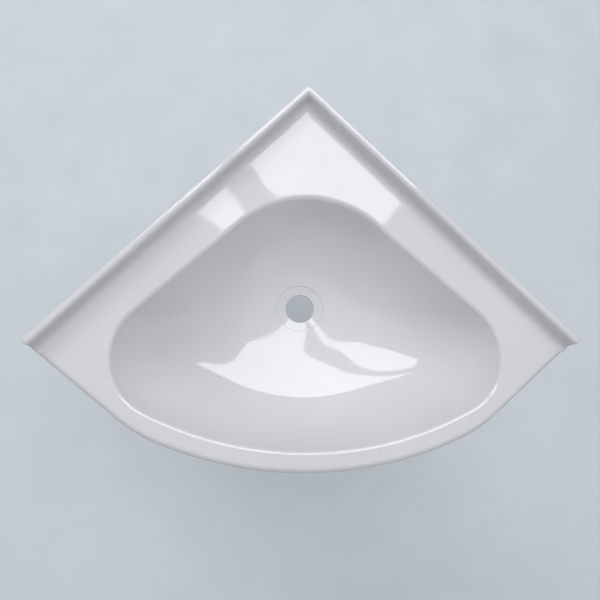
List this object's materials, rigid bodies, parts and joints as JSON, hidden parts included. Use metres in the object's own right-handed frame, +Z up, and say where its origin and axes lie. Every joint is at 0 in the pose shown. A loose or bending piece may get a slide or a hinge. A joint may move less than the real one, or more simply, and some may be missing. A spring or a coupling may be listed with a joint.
{
  "type": "corner basin",
  "caption": "Corner wash basin: thin glossy moulding with a wall upstand, a curved front and a deep rounded-triangle bowl with a plain waste hole, on a bonded timber frame.",
  "frame": {"origin": "where the two wall planes meet, at the height of the rim's bottom edge", "axes": "+Z up, +X to the right for someone standing in front of the basin, -Y towards them; each wall plane runs at 45 degrees from the origin"},
  "size_m": [0.5686, 0.4115, 0.1408],
  "materials": {
    "gloss_white": "high gloss white formed sheet",
    "softwood": "planed, unfinished",
    "plywood": "sanded, unfinished",
    "ring_plastic": "matt white",
    "zinc_steel": "bright zinc plate"
  },
  "bodies": {
    "root": {"basin_moulding": "gloss_white", "corner_block": "softwood", "left_wall_rail": "softwood", "right_wall_rail": "softwood", "left_side_rail": "softwood", "right_side_rail": "softwood", "front_strip": "plywood", "ledge_board": "plywood", "waste_ring": "ring_plastic", "frame_screws": "zinc_steel"}
  },
  "joints": []
}
